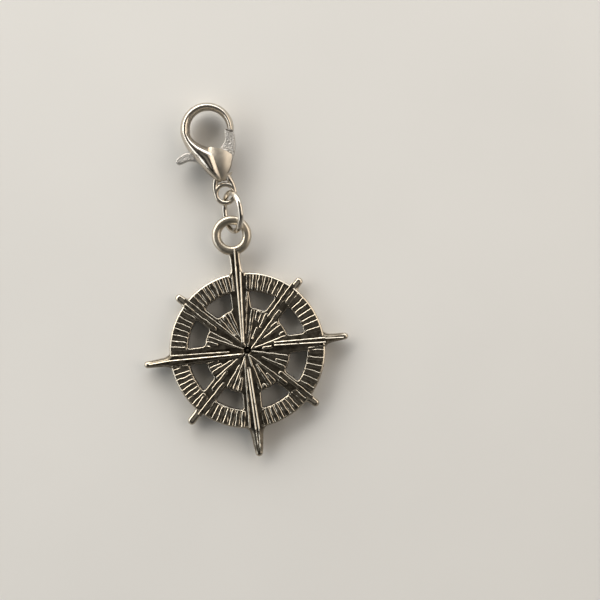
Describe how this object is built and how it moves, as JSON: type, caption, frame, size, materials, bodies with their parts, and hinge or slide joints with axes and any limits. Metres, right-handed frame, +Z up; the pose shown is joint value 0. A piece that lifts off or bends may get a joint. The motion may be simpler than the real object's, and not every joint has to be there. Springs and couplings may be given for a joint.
{
  "type": "ship wheel charm",
  "caption": "Cast ship wheel pendant with raised ribs and open windows, on a jump ring and a lobster clasp that clips it to a chain or zip.",
  "frame": {"origin": "centre of the wheel's flat back, on the surface the charm lies on", "axes": "+Z up out of the wheel's face, +Y from the wheel's centre through its loop towards the clasp, +X to the right seen from above"},
  "size_m": [0.0239, 0.0414, 0.0046],
  "materials": {
    "wheel_metal": "polished antique silver plating on a zinc casting, darker in the grooves",
    "ring_metal": "bright plated wire",
    "clasp_metal": "bright polished plating",
    "lever_metal": "matte, finely grained, as plated without polishing",
    "pin_metal": "plain turned steel, hidden"
  },
  "bodies": {
    "charm": {"wheel": "wheel_metal", "jump_ring": "ring_metal", "clasp_body": "clasp_metal", "clasp_pin": "pin_metal"},
    "lever": {"clasp_lever": "lever_metal"}
  },
  "joints": [
    {"name": "lever_hinge", "type": "hinge", "parent": "charm", "child": "lever", "pos_m": [0, 0.02208, 0.0015], "axis": [0, 0, 1], "range_deg": [0, 28], "stiffness_Nm_per_rad": 0.004, "springref_deg": -22.92}
  ]
}
